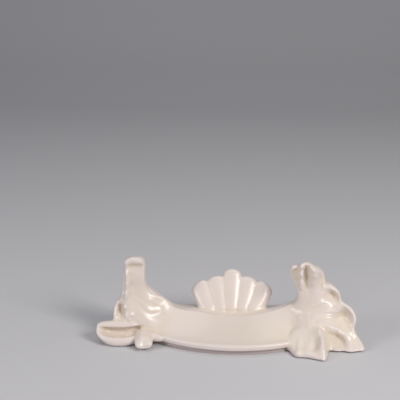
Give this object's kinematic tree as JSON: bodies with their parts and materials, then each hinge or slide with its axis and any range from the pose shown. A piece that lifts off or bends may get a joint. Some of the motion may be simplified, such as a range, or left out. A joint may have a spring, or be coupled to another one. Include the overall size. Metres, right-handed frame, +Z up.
{
  "type": "plate display stand",
  "caption": "Free-standing glazed ceramic stand in a leaf and scroll style that holds a round plate upright on its rim, leaning back slightly.",
  "frame": {"origin": "middle of the stand's footprint, on the surface it stands on", "axes": "+X to the right as seen from the front, +Y from the front to the back, +Z up"},
  "size_m": [0.2571, 0.1116, 0.0824],
  "materials": {
    "glazed_ceramic": "gloss",
    "ceramic_foot": "satin"
  },
  "bodies": {
    "root": {"bed_casting": "glazed_ceramic", "foot_ring": "ceramic_foot", "left_prong": "glazed_ceramic", "left_folded_leaf": "glazed_ceramic", "left_toe_scroll": "glazed_ceramic", "right_prong": "glazed_ceramic", "right_fan_leaf": "glazed_ceramic", "right_leaf_tip": "glazed_ceramic", "right_toe_leaf": "glazed_ceramic", "rear_shell": "glazed_ceramic"}
  },
  "joints": []
}
